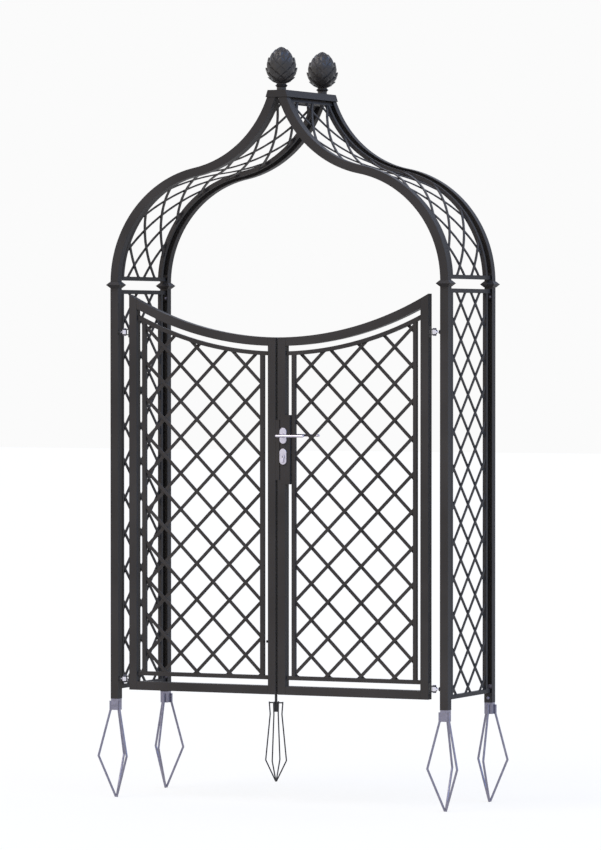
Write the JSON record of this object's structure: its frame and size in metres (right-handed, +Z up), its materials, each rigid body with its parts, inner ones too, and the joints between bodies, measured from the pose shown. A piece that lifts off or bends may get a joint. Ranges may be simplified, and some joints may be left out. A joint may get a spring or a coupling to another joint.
{
  "type": "garden arch with gate",
  "caption": "Free-standing steel garden arch with an ogee top, diagonal lattice sides and a two-leaf lockable lattice gate, planted on ground anchors.",
  "frame": {"origin": "at ground level, in the middle of the rectangle of the four posts", "axes": "+Z up, +Y from the gate to the rear, +X to the right seen from the gate side"},
  "size_m": [1.7556, 0.6305, 3.3376],
  "materials": {
    "powder_coat": "satin anthracite powder coat, finely textured",
    "cast_aluminium": "cast aluminium under the same satin anthracite coat",
    "zinc": "hot-dip galvanised, dull silver",
    "black_steel": "black oxide and paint",
    "satin_steel": "satin stainless steel",
    "nickel": "satin nickel plate",
    "bright_steel": "bright zinc-plated steel"
  },
  "bodies": {
    "arch": {"post_front_right": "powder_coat", "post_front_left": "powder_coat", "post_rear_right": "powder_coat", "post_rear_left": "powder_coat", "arc_front_right": "powder_coat", "arc_front_left": "powder_coat", "arc_rear_right": "powder_coat", "arc_rear_left": "powder_coat", "post_collars": "powder_coat", "post_connectors": "powder_coat", "foot_spacers": "powder_coat", "panel_screws": "zinc", "anchor_front_right": "zinc", "anchor_front_left": "zinc", "anchor_rear_right": "zinc", "anchor_rear_left": "zinc", "side_frame_right": "powder_coat", "side_frame_left": "powder_coat", "side_lattice_right": "powder_coat", "side_lattice_left": "powder_coat", "arc_frame_right": "powder_coat", "arc_frame_left": "powder_coat", "arc_lattice_right": "powder_coat", "arc_lattice_left": "powder_coat", "ridge_cap": "powder_coat", "finial_front": "cast_aluminium", "finial_rear": "cast_aluminium", "ground_socket": "black_steel", "hinge_eye_bolts": "zinc", "hinge_nuts": "black_steel"},
    "left_leaf": {"left_hinge_stile": "powder_coat", "left_meeting_stile": "powder_coat", "left_top_rail": "powder_coat", "left_bottom_rail": "powder_coat", "left_inner_frame": "powder_coat", "left_lattice": "powder_coat", "left_hinge_brackets": "black_steel", "left_hinge_pins": "zinc", "left_strike_box": "powder_coat", "left_drop_guides": "black_steel"},
    "right_leaf": {"right_hinge_stile": "powder_coat", "right_meeting_stile": "powder_coat", "right_top_rail": "powder_coat", "right_bottom_rail": "powder_coat", "right_inner_frame": "powder_coat", "right_lattice": "powder_coat", "right_hinge_brackets": "black_steel", "right_hinge_pins": "zinc", "lock_case": "powder_coat", "handle_roses": "satin_steel", "cylinder_roses": "satin_steel", "lock_cylinder": "nickel"},
    "handle": {"lever_front": "satin_steel", "lever_rear": "satin_steel", "handle_spindle": "bright_steel", "latch_follower": "bright_steel"},
    "latch": {"latch_bolt": "bright_steel"},
    "key": {"key_plug": "nickel"},
    "dead_bolt": {"dead_bolt": "bright_steel"},
    "drop_bolt": {"drop_bolt_rod": "black_steel"}
  },
  "joints": [
    {"name": "right_leaf_hinge", "type": "hinge", "parent": "arch", "child": "right_leaf", "pos_m": [0.754, -0.2575, 0.0905], "axis": [0, 0, 1], "range_deg": [0, 100]},
    {"name": "left_leaf_hinge", "type": "hinge", "parent": "arch", "child": "left_leaf", "pos_m": [-0.754, -0.2575, 0.0905], "axis": [0, 0, -1], "range_deg": [0, 100]},
    {"name": "handle_turn", "type": "hinge", "parent": "right_leaf", "child": "handle", "pos_m": [0.033, -0.247, 1.184], "axis": [0, 1, 0], "range_deg": [0, 40], "stiffness_Nm_per_rad": 1.5, "springref_deg": -28.65},
    {"name": "latch_slide", "type": "slide", "parent": "right_leaf", "child": "latch", "axis": [1, 0, 0], "range_m": [0, 0.012]},
    {"name": "key_turn", "type": "hinge", "parent": "right_leaf", "child": "key", "pos_m": [0.033, -0.247, 1.092], "axis": [0, -1, 0], "range_deg": [0, 90]},
    {"name": "dead_bolt_throw", "type": "slide", "parent": "right_leaf", "child": "dead_bolt", "axis": [-1, 0, 0], "range_m": [0, 0.018]},
    {"name": "drop_bolt_slide", "type": "slide", "parent": "left_leaf", "child": "drop_bolt", "axis": [0, 0, -1], "range_m": [-0.03, 0.055]}
  ],
  "couplings": [
    {"joint": "latch_slide", "follows": "handle_turn", "m_per_rad": 0.01718},
    {"joint": "key_turn", "follows": "dead_bolt_throw", "rad_per_m": 87}
  ]
}
